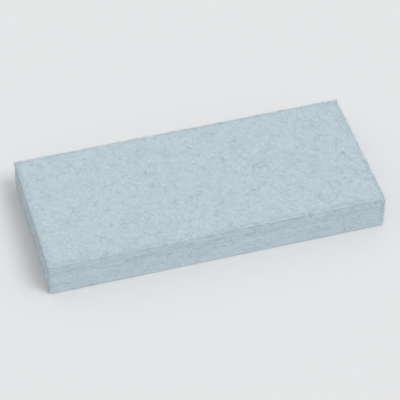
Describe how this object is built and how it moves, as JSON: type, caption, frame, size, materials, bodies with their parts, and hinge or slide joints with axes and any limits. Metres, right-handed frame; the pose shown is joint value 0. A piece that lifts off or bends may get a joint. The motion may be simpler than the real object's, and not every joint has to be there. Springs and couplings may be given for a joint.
{
  "type": "textile insulation panel",
  "caption": "Flat semi-rigid batt of bonded textile fibre with soft arrises, held by friction between wall studs as thermal and acoustic insulation.",
  "frame": {"origin": "middle of the back face, which the panel lies on", "axes": "+X along the length, +Y across the width, +Z through the thickness from the back face to the front face, which is the face towards the room when the panel is fitted"},
  "size_m": [1.35, 0.6, 0.15],
  "materials": {
    "textile_fibre": "matt pale-blue carded and thermobonded textile fibre, with blue, grey and white fibres mixed, a soft felt nap on the broad faces and horizontal web layers on the cut edges"
  },
  "bodies": {
    "root": {"insulation_panel": "textile_fibre"}
  },
  "joints": []
}
